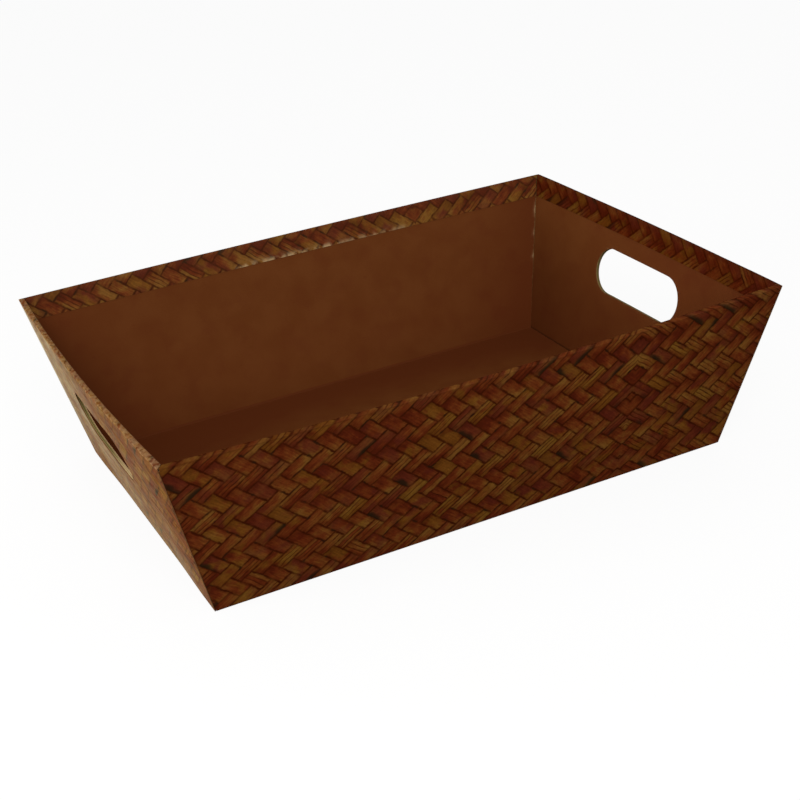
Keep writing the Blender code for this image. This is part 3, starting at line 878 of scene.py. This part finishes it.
def printed_paper(name, look, paper, page):
    """The wraps' gloss paper, printed with a basket weave of two strips over and two under.

    Two sets of strips cross. A point's count across them is rise = x / spacing + y / spacing and fall = -x /
    spacing + y / spacing. In the square cell of their whole parts (i, j), the rising strip is on top where
    (i + j) mod 4 is 0 or 1, and the falling one where it is 2 or 3, so each shows for two cells and goes under
    for two. Past a seam the print is its own mirror image. Numbers are millimetres, and a vector added to spot
    takes a noise from elsewhere, so that no two are alike.
    """
    make = Finish(name, 0.36, 0.0)
    wear, fray = make.attribute("wear"), make.attribute("fray")
    x, y, _ = make.parts(make.sheet_place())
    # painted shade along the folds, stronger towards the sheet's left
    fold_shade = wear * x.step(30.0, -170.0, page.fold_shade, 2 * page.fold_shade)
    # painted shade from the rim inwards
    dim = y.step(*RIM_START, 0.0, page.dim)
    clear = 1.0  # the share of a burnt mark that shows: a seam would cut through it
    if page.seam is not None:
        x = (x - page.seam / MM).do("ABSOLUTE") * -1
        clear = x.step(-5.0, -12.0)
    x = y * math.tan(look.lean) + x + page.shift[0] / MM
    y = y + page.shift[1] / MM
    spot = make.whole(x, y, 41.0 * page.number)
    moved = spot
    for scale, width in ((0.03, look.wander / MM), (0.17, look.wander / MM * 1.4)):
        moved = moved + (make.noise(spot, scale, output=1) - (0.5, 0.5, 0.5)) * width
    mx, my, _ = make.parts(moved)

    # The cells, and which strip is on top. run and side go from 0 to 1 along it and across it.
    level, climb = mx / (look.strip_along / MM), my / (look.strip_up / MM)
    rise, fall = climb + level, climb - level
    i, j = rise.do("FLOOR"), fall.do("FLOOR")
    in_i, in_j = rise.do("FRACT"), fall.do("FRACT")
    beat = (i + j).do("FLOORED_MODULO", 4)
    second = beat.do("FLOORED_MODULO", 2)
    falling = beat.do("GREATER_THAN", 1.5)
    run = (second + make.pick(falling, in_i, in_j)) * 0.5
    side = make.pick(falling, in_j, in_i)
    cell = make.whole(i - make.pick(falling, second, 0.0), j - make.pick(falling, 0.0, second), page.number + 0.25)
    tone_dice, slope_dice, split_dice = make.random(cell)
    mark_dice, place_dice, fibre_dice = make.random(cell + (0.3, 0.6, 0.1))
    strip_dice, side_dice, strip_split = make.random(make.whole(make.pick(falling, j, i), falling, page.number + 0.75))
    strip_width = 1 / math.hypot(MM / look.strip_along, MM / look.strip_up)
    strip_run = math.hypot(look.strip_along / MM, look.strip_up / MM)

    # Some strips are split lengthwise into two or three slivers, most of them rising ones
    split_chance = strip_split * 0.65 + split_dice * 0.35
    split = split_chance.do("LESS_THAN", make.pick(falling, look.split, look.split * 0.15))
    slivers = make.pick(split, 1.0, side_dice.between(1.6, 3.4).do("ROUND"))
    sliver = (side + make.noise(spot, 0.1, 1.0).spread(0.1)) * slivers
    from_split = sliver.do("PINGPONG", 0.5) * strip_width / slivers
    split_line = from_split.step(0.02, 0.6, 0.85, 0.0) * split
    sliver_dice, _, _ = make.random(cell + make.whole(0.0, 0.0, sliver.do("FLOOR")))

    # The strips' colours, as a place along the row of strip colours
    fibre = make.noise(make.whole(run * 2.4, side * 9.0, fibre_dice * 90.0), 1.0, 3.0)
    along_run = make.pick(falling, run, 1.0 - run) - 0.5
    value = (
        strip_dice.spread(0.18)
        + tone_dice.spread(0.12)
        + sliver_dice.spread(0.22) * split
        + make.noise(spot, 0.07, 3.0).spread(0.32)
        + make.noise(spot + (300, 0, 0), 0.16, 1.0).spread(0.42)
        + fibre.spread(0.24)
        + make.noise(spot + (0, 0, 700), 0.34, 1.0).spread(0.16)
        + along_run * slope_dice.between(0.05, 0.65)
        + (side - 0.5) * side_dice.spread(0.6)
    )
    value = value * page.lively + make.pick(falling, RISING + page.warmth, FALLING + page.warmth)
    stops = ((0.08, look.oxblood), (0.32, look.russet), (0.52, look.amber), (0.72, look.tan), (0.96, look.gold))
    tint = make.ramp(value, stops)
    bloom = make.noise(spot + (0, 0, 300), 0.12, 1.0).spread(0.6)
    tint = make.blend((mark_dice + bloom).step(0.1, 0.4, 0.55, 0.0), tint, look.plum)
    tint = make.blend((place_dice + bloom).step(0.7, 1.0, 0.0, 0.45), tint, look.olive)
    tint = tint * (fibre.spread(0.36) + make.noise(spot, 0.7).spread(0.3) + 1.0)

    # Ragged lines between the strips, soft shade beside them, and burnt spots on them
    jag = make.noise(spot, 0.42, 1.0).spread(0.55)
    from_side = side.do("MINIMUM", 1.0 - side) * strip_width
    from_end = run.do("MINIMUM", 1.0 - run) * strip_run
    line = (from_side + jag).step(0.1, 1.1, 1.0, 0.0).most((from_end + jag).step(0.1, 1.2, 1.0, 0.0)).most(split_line)
    shade = from_side.step(0.0, 2.4, 0.3, 0.0).most(along_run.step(-0.5, -0.1, 0.36, 0.0))
    kept = (wear + 1.1) * -page.rubbed + 1.0
    uneven = make.noise(spot + (0, 500, 0), 0.13).step(0.3, 0.6, 0.55, 1.0) * kept
    tint = make.blend(line.most(shade) * uneven, tint, look.shadow)
    pit = make.noise(spot + (900, 0, 0), 0.18, 1.0).step(0.56, 0.7, 0.0, 0.6)
    tint = make.blend(line * pit, tint, look.scorch)

    # A burnt mark at one side of a few strips, longer than it is wide
    mark_run = (run - place_dice.between(0.4, 0.9)) * (strip_run / MARK_LENGTH)
    mark_side = side * (strip_width / MARK_WIDTH)
    ragged = mark_run * mark_run + mark_side * mark_side + make.noise(spot, 0.2, 0.0).spread(0.5)
    mark = ragged.step(0.0, 1.2, 0.88, 0.0) * mark_dice.do("LESS_THAN", look.scorched)
    tint = make.blend(mark * clear, tint, look.scorch)
    # an even haze of core colour, then painted shade over the rim part
    tint = make.blend(dim, make.blend(page.haze, tint, paper.core), look.shadow)

    # Wear and painted shade at the folds, pale flakes and a painted glint at a torn edge, relief and varnish
    worn = wear * make.noise(spot, 0.35, 4.0).step(0.3, 0.66)
    # pale real wear at the folds, then painted shade over them
    tint = make.blend(fold_shade, make.blend(worn * page.rubbed, tint, paper.core), look.shadow)
    # pale flakes at the torn edge, partly a painted glint
    flakes_and_glint = fray * make.noise(spot, 0.19, 4.0).step(0.38, 0.6)
    tint = make.blend(flakes_and_glint * 0.68, tint, paper.core)
    grain = make.noise(spot, 2.2)
    make.bump(make.noise(spot, 0.12, 1.0) + grain * 0.06, 0.12 * MM)
    varnish = make.noise(spot * (0.2, 1.0, 1.0), 0.45, 3.0).spread(1.1) + 1.0 - wear
    make.grazing_gloss(look.gloss, look.gloss_tint, 0.34, varnish)
    return make.finish(tint, grain.between(0.3, 0.44))


def lining_paper(paper):
    """Plain brown satin paper with faint clouds, short fibres and small dents.

    It has painted shade low down and in corners, painted shadow lines in the floor's bend and at the foot of each end
    lining, and it is chipped and worn through to its core at its cut edges.
    """
    make = Finish("brown lining paper", 0.55, 0.01)
    spot = make.sheet_place()
    fleck = make.noise(spot * (0.5, 1.6, 1.0), 1.1, 3.0)
    value = make.noise(spot, 0.05, 4.0) * 0.7 + fleck * 0.3
    tint = make.blend(value.step(0.38, 0.62), paper.lining_dark, paper.lining)
    ruddy = make.noise(spot + (0, 0, 90), 0.07, 3.0).step(0.45, 0.75, 0.0, 0.38)
    dent = make.noise(spot * (0.4, 1.0, 1.0), 0.5).step(0.68, 0.74, 0.0, 0.35)
    # painted shade where the sheet marks it, and random ruddy mottling and dents, in one deeper colour
    tint = make.blend(make.attribute("painted_shade") + ruddy.most(dent), tint, paper.lining_mottle_and_shade)
    # the painted shadow lines
    tint = make.blend(make.attribute("gap").step(0.2, 1.0, 0.0, 0.75), tint, paper.painted_shadow_line)
    worn = make.attribute("wear") * make.noise(spot, 0.4, 4.0).step(0.5, 0.75)
    tint = make.blend(worn * 0.35, tint, paper.core)
    chipped = make.attribute("chip") * make.noise(spot, 0.6).step(0.25, 0.5)
    tint = make.blend(chipped * 0.5, tint, paper.core)
    make.bump(make.noise(spot, 0.1) + fleck * 0.12, 0.12 * MM)
    return make.finish(tint, fleck.between(0.45, 0.62))


def cut_paper(paper):
    """A wrap's cut edge, stained by the print's ink."""
    make = Finish("cut paper edge", 0.9, 0.1)
    spot = make.sheet_place()
    make.bump(make.noise(spot, 3.0), 0.05 * MM)
    return make.finish(make.blend(make.noise(spot, 0.35, 3.0).step(0.35, 0.7, 0.0, 0.7), paper.cut, paper.lining_dark))


def cut_lining(paper, side, bared):
    """A lining's cut edge: brown, and bare round a hand hole, where the attribute "wear" marks it."""
    make = Finish(f"cut lining edge {side}", 0.9, 0.05)
    return make.finish(make.blend(make.attribute("wear").step(0.05, 0.25, 0.0, bared), paper.lining_dark, paper.core))


def cut_board(paper, side, paled):
    """The greyboard's cut edge: thin plies, lighter and darker by turns, broken up by fibres.

    paled is how far the plies fade towards the paper's core, to the right of the hole's middle.
    """
    make = Finish(f"cut greyboard edge {side}", 0.95, 0.05)
    spot = make.sheet_place()
    along, _, depth = make.parts(spot)
    plies = (depth + make.noise(spot, 0.4).spread(0.12)) / (paper.ply / MM)
    value = plies.do("PINGPONG", 1.0) * 0.7 + make.noise(spot * (1.0, 1.0, 3.0), 1.4, 4.0) * 0.5
    make.bump(value, 0.08 * MM)
    pale = along.step(-12.0, 25.0, 0.0, paled)
    light = make.blend(pale, paper.board_light, paper.core)
    dark = make.blend(pale * 0.6, paper.board_dark, paper.core)
    return make.finish(make.blend(value.step(0.25, 0.95), dark, light))


def greyboard_face(paper, on_sheet):
    """Greyboard's face: grey-brown pulp with pale and dark specks."""
    make = Finish("greyboard face " + ("sheet" if on_sheet else "object"), 0.92, 0.1)
    spot = make.sheet_place() if on_sheet else make.object_place()
    pulp = make.noise(spot, 0.5, 5.0)
    speck = make.noise(spot + (70, 0, 0), 1.3, 3.0).step(0.62, 0.7)
    make.bump(pulp, 0.1 * MM)
    return make.finish(
        make.blend(speck * 0.6, make.blend(pulp.step(0.3, 0.7), paper.board_dark, paper.board_light), paper.core)
    )


def fibre_paper(name, tint, darker, roughness):
    """Uncoated paper: clouds of pulp and short fibres that run mostly one way."""
    make = Finish(name, roughness, 0.1)
    spot = make.object_place()
    fibre = make.noise(spot * (0.35, 2.2, 1.0), 1.0, 4.0)
    value = make.noise(spot, 0.08, 4.0) * 0.55 + fibre * 0.45
    make.bump(fibre, 0.05 * MM)
    return make.finish(make.blend(value.step(0.35, 0.65), darker, tint))


def looks():
    """The sizes and looks that the panel sets."""
    scene = bpy.context.scene
    return Tray(scene.gift_tray_sizes), scene.gift_tray_print, scene.gift_tray_paper


def whole_edge(along):
    """An edge without a tear."""
    return 0 * along


def torn_edge(along):
    """The back wrap's inner edge is torn from 48 mm left of its middle, less so past 27 mm right, to 85 mm."""
    # the tear shows pale flakes and a painted glint
    ends = ease(along, 48 * MM, 40 * MM) * ease(along, -85 * MM, -77 * MM)
    return ends * (0.55 + 0.45 * ease(along, -32 * MM, -22 * MM))


class GIFT_TRAY_OT_long_wraps(bpy.types.Operator):
    """Builds the printed wraps of the front and back walls, with their turned-in rims and corner tabs"""

    bl_idname = "gift_tray.long_wraps"
    bl_label = "Front and Back Wraps"

    def execute(self, context):
        tray, look, paper = looks()
        edge = cut_paper(paper)
        front = Page(0, look.front_shift, look.front_seam, haze=0.005)
        back = Page(1, look.back_shift, -look.back_seam, warmth=0.08, haze=0.022, fold_shade=0.1, lively=1.3)
        for wall, node, page, frayed in (
            (tray.front, "front_wrap", front, whole_edge),
            (tray.back, "back_wrap", back, torn_edge),
        ):
            face = printed_paper(node.replace("_", " ") + " print", look, paper, page)
            seat(long_wrap(tray, wall, "printed_" + node, [face, edge, edge], frayed), "printed_paper", node)
        return {"FINISHED"}


class GIFT_TRAY_OT_end_wraps(bpy.types.Operator):
    """Builds the printed wraps of the end walls, which step down past the corner tabs, with their hand holes"""

    bl_idname = "gift_tray.end_wraps"
    bl_label = "End Wraps"

    def execute(self, context):
        tray, look, paper = looks()
        edge = cut_paper(paper)
        # the right wrap has painted shade from its rim inwards
        right = Page(2, look.end_shift, warmth=-0.1, dim=0.36)
        left = Page(3, look.end_shift, warmth=0.12, rubbed=0.33, fold_shade=0.05, lively=0.85)
        for wall, node, page in ((tray.right, "right_end_wrap", right), (tray.left, "left_end_wrap", left)):
            face = printed_paper(node.replace("_", " ") + " print", look, paper, page)
            seat(end_wrap(tray, wall, "printed_" + node, [face, edge, edge]), "printed_paper", node)
        return {"FINISHED"}


class GIFT_TRAY_OT_linings(bpy.types.Operator):
    """Builds the brown linings: one sheet over the floor and long walls, and one on each end wall"""

    bl_idname = "gift_tray.linings"
    bl_label = "Linings"

    def execute(self, context):
        tray, _, paper = looks()
        brown = lining_paper(paper)
        seat(long_lining(tray, "floor_and_wall_lining", [brown, brown, brown]), "lining_paper", "long_lining")
        for wall, side, bared in ((tray.right, "right", 0.25), (tray.left, "left", 0.75)):
            node = f"{side}_end_lining"
            piece = end_lining(tray, wall, "brown_" + node, [brown, brown, cut_lining(paper, side, bared)])
            seat(piece, "lining_paper", node)
        return {"FINISHED"}


class GIFT_TRAY_OT_end_boards(bpy.types.Operator):
    """Builds the end walls' greyboards, whose cut plies show in the hand holes"""

    bl_idname = "gift_tray.end_boards"
    bl_label = "End Boards"

    def execute(self, context):
        tray, _, paper = looks()
        face = greyboard_face(paper, True)
        for wall, side, paled in ((tray.right, "right", 0.0), (tray.left, "left", 0.78)):
            node = f"{side}_end_board"
            seat(end_board(tray, wall, "ply_" + node, [face, face, cut_board(paper, side, paled)]), "greyboard", node)
        return {"FINISHED"}


class GIFT_TRAY_OT_plain_pieces(bpy.types.Operator):
    """Gives the frame's own boards, corner stays and base sheet their papers and board"""

    bl_idname = "gift_tray.plain_pieces"
    bl_label = "Boards, Stays and Base Sheet"

    def execute(self, context):
        _, _, paper = looks()
        stays = [f"corner_stay_{end}_{side}" for end in ("front", "back") for side in ("left", "right")]
        for nodes, finish in (
            (("front_board", "back_board", "base_board"), greyboard_face(paper, False)),
            (stays, fibre_paper("stay paper", paper.stay, paper.core, 0.8)),
            (("base_sheet",), fibre_paper("base sheet paper", paper.base_paper, paper.lining_dark, 0.85)),
        ):
            for node in nodes:
                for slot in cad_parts[node].material_slots:
                    slot.material = finish
        return {"FINISHED"}


def lamp(name, where, aim, size, watts, tint):
    """A square soft light at a place, turned to face another."""
    light = bpy.data.lights.new(name, "AREA")
    light.size, light.energy, light.color = size, watts, tint
    facing = (Vector(aim) - Vector(where)).to_track_quat("-Z", "Y").to_matrix().to_4x4()
    add_object(name, light).matrix_world = Matrix.Translation(where) @ facing


def studio_floor(studio):
    """A plain floor that keeps the tray's shadow, and is nearly white to the camera."""
    half = studio.floor_size / 2
    line = np.linspace(-half, half, FLOOR_LINES)
    points = np.insert(laid(line, line[:, None]).reshape(-1, 2), 2, 0, axis=1)
    numbers = np.arange(len(points)).reshape(FLOOR_LINES, FLOOR_LINES)
    mesh = bpy.data.meshes.new("studio_floor")
    mesh.from_pydata(points.tolist(), [], quads_of(numbers).tolist())
    make = Finish("studio floor", 1, 0)
    pale = make.blend(make.seen("Is Glossy Ray", "Is Transmission Ray"), studio.floor_bounce, studio.floor)
    glow = make.seen("Is Transmission Ray") * studio.floor_glow
    mesh.materials.append(make.finish(pale))
    make.mix_last(glow, make.shader, make.add("Emission", {}), "Material Output")
    floor = add_object("studio_floor", mesh)


def studio_world(studio):
    """A white surround for the camera and for reflections, and an even soft light for the rest."""
    world = bpy.data.worlds.new("studio")
    bpy.context.scene.world = world
    make = Nodes(world)
    soft = make.nodes["Background"]
    make.feed(soft.inputs["Color"], (1, 1, 1))
    make.feed(soft.inputs["Strength"], studio.soft_light)
    white = make.add("Background", {"Color": (1, 1, 1)})
    make.mix_last(make.seen("Is Glossy Ray", "Is Transmission Ray"), soft, white, "World Output")


def studio_camera(studio):
    """The camera stands back from its target along (azimuth, elevation), and rolls about its line of sight."""
    azimuth, elevation = studio.azimuth, studio.elevation
    level = math.cos(elevation)
    back = Vector((math.sin(azimuth) * level, -math.cos(azimuth) * level, math.sin(elevation)))
    right = Vector((math.cos(azimuth), math.sin(azimuth), 0))
    turned = Matrix((right, back.cross(right), back)).transposed().to_4x4() @ Matrix.Rotation(studio.roll, 4, "Z")
    camera = bpy.data.cameras.new("studio_camera")
    camera.lens = studio.focal_length
    rig = add_object("studio_camera", camera)
    target = Vector((studio.target_x, studio.target_y, 0))
    rig.matrix_world = Matrix.Translation(target + back * studio.distance) @ turned
    bpy.context.scene.camera = rig


class GIFT_TRAY_OT_stage(bpy.types.Operator):
    """Sets up the camera, the floor, the lights and the white surround"""

    bl_idname = "gift_tray.stage"
    bl_label = "Studio"

    def execute(self, context):
        studio = context.scene.gift_tray_studio
        context.scene.view_settings.view_transform = "Standard"
        studio_floor(studio)
        studio_world(studio)
        studio_camera(studio)
        lamp("key_light", (-0.62, -1.54, 1.17), (0, 0, 0.05), 1.2, 37.5, (1, 0.98, 0.95))
        lamp("side_light", (-1.1, 0.05, 0.12), (-0.18, 0, 0.05), 0.3, 12.5, (1, 0.99, 0.95))
        return {"FINISHED"}


class GIFT_TRAY_PT_panel(bpy.types.Panel):
    """The tray's sizes, looks and build steps, in the 3D view's sidebar"""

    bl_idname = "GIFT_TRAY_PT_panel"
    bl_label = "Gift Tray"
    bl_space_type = "VIEW_3D"
    bl_region_type = "UI"
    bl_category = "Gift Tray"

    def draw(self, context):
        layout = self.layout
        for step in STEPS:
            layout.operator(step.bl_idname)
        for store, group in STORES.items():
            box = layout.box()
            box.label(text=group.__doc__)
            settings = getattr(context.scene, store)
            for name in group.__annotations__:
                box.prop(settings, name)


STORES = {
    "gift_tray_sizes": TraySizes,
    "gift_tray_print": PrintLook,
    "gift_tray_paper": PaperLook,
    "gift_tray_studio": StudioLook,
}
STEPS = (
    GIFT_TRAY_OT_long_wraps,
    GIFT_TRAY_OT_end_wraps,
    GIFT_TRAY_OT_linings,
    GIFT_TRAY_OT_end_boards,
    GIFT_TRAY_OT_plain_pieces,
    GIFT_TRAY_OT_stage,
)
CLASSES = (*STORES.values(), *STEPS, GIFT_TRAY_PT_panel)


def register():
    for kind in CLASSES:
        bpy.utils.register_class(kind)
    for store, group in STORES.items():
        setattr(bpy.types.Scene, store, PointerProperty(type=group))


def unregister():
    for store in STORES:
        delattr(bpy.types.Scene, store)
    for kind in reversed(CLASSES):
        bpy.utils.unregister_class(kind)


def main():
    register()
    bpy.ops.gift_tray.long_wraps()
    bpy.ops.gift_tray.end_wraps()
    bpy.ops.gift_tray.linings()
    bpy.ops.gift_tray.end_boards()
    bpy.ops.gift_tray.plain_pieces()
    bpy.ops.gift_tray.stage()
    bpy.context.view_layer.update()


if __name__ == "__main__":
    main()
